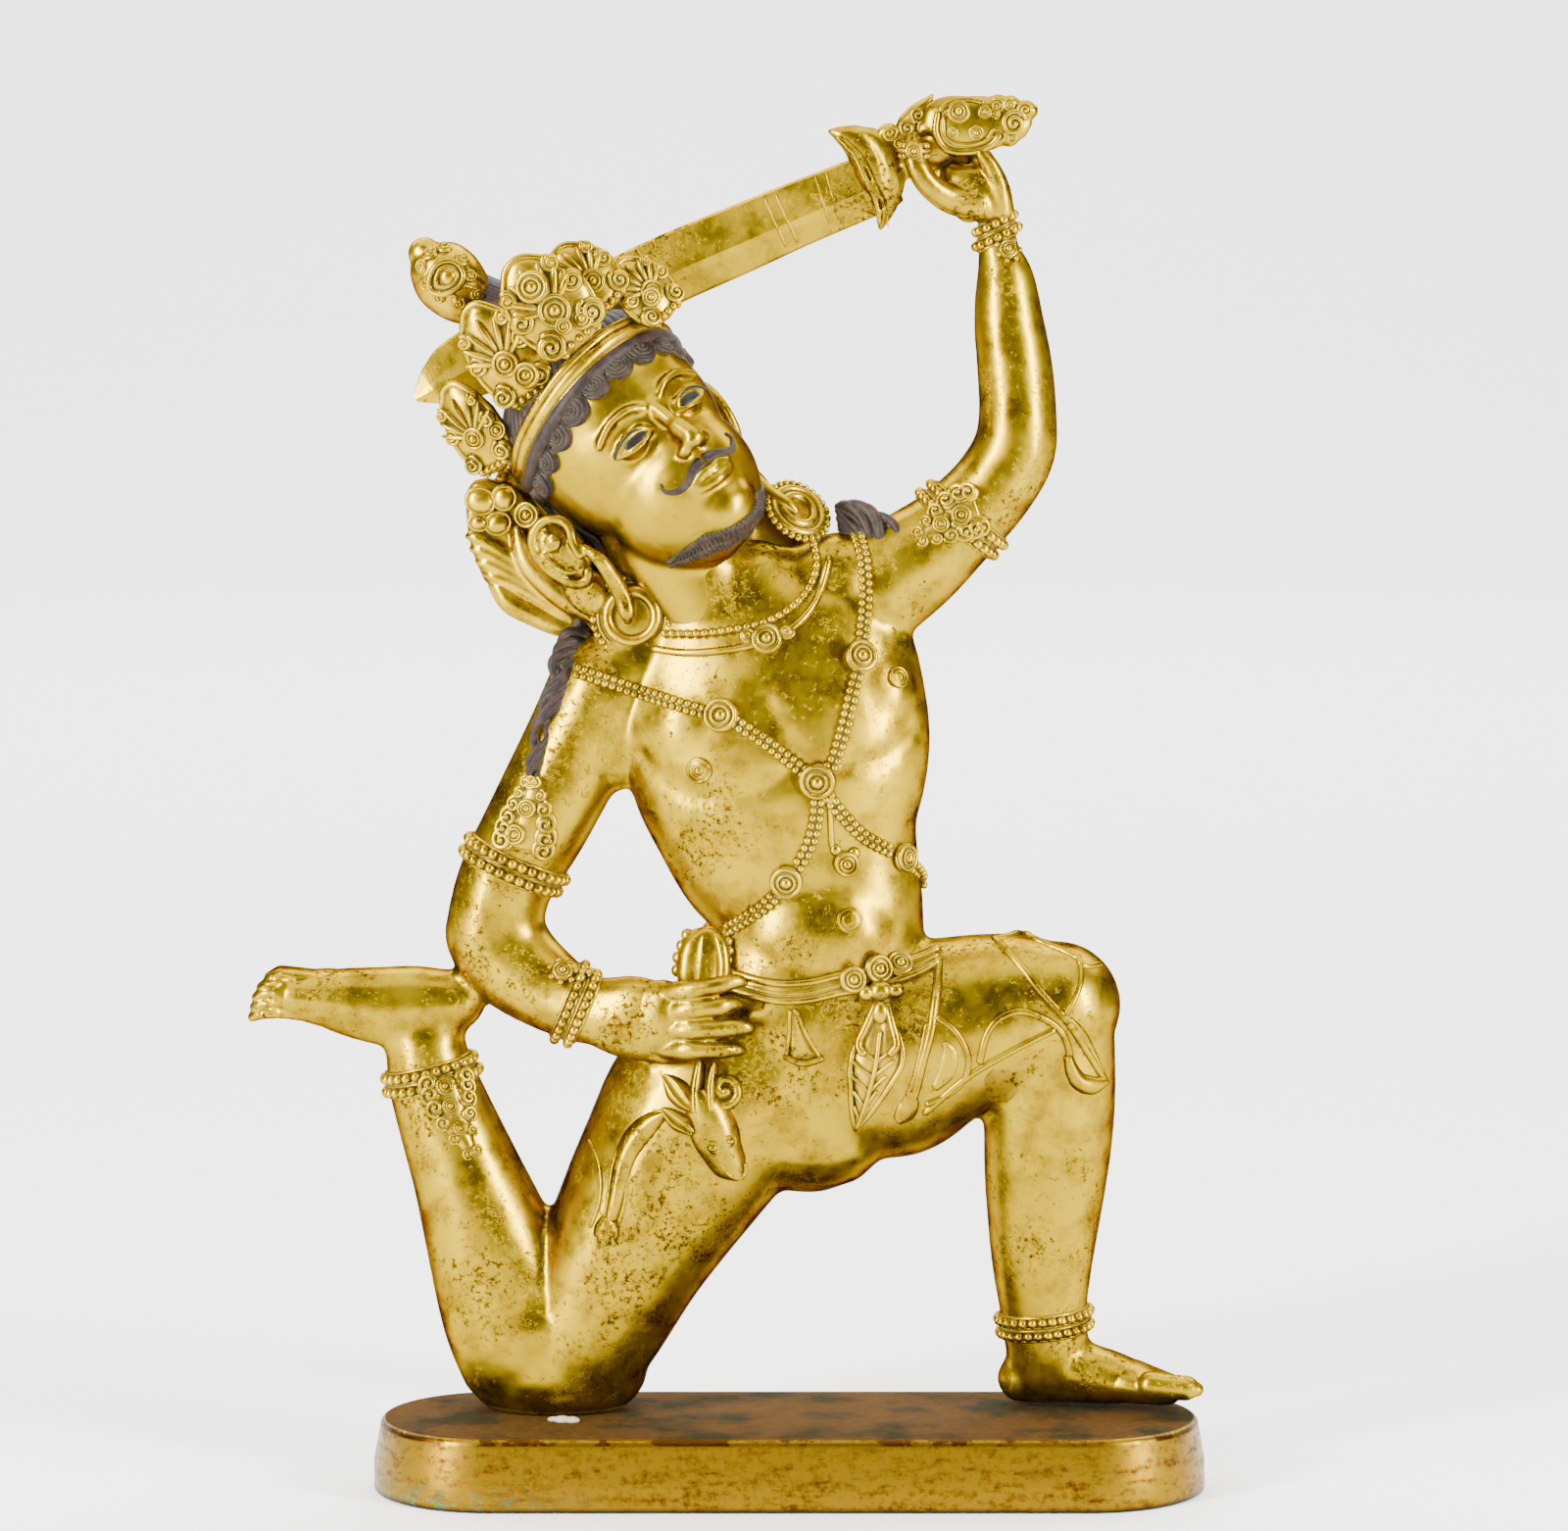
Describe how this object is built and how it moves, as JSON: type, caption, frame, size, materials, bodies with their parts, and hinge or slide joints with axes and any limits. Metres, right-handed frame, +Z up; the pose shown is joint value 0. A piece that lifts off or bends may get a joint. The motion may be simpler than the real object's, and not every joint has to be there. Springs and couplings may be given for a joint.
{
  "type": "gilt bronze deity statue",
  "caption": "Cast gilt figure kneeling on one knee with a raised sword and a hand on the hip, fixed on a long oval plinth.",
  "frame": {"origin": "centre of the plinth's flat underside", "axes": "+Z up, the figure's chest faces -Y, the raised sword arm is on the +X side"},
  "size_m": [0.178, 0.051, 0.2576],
  "materials": {
    "figure": "polished fire gilding with wear and dark pigment in the hair",
    "plinth": "worn gilding on the side, matt brown lacquer on the top"
  },
  "bodies": {
    "root": {"figure": "figure", "plinth": "plinth"}
  },
  "joints": []
}
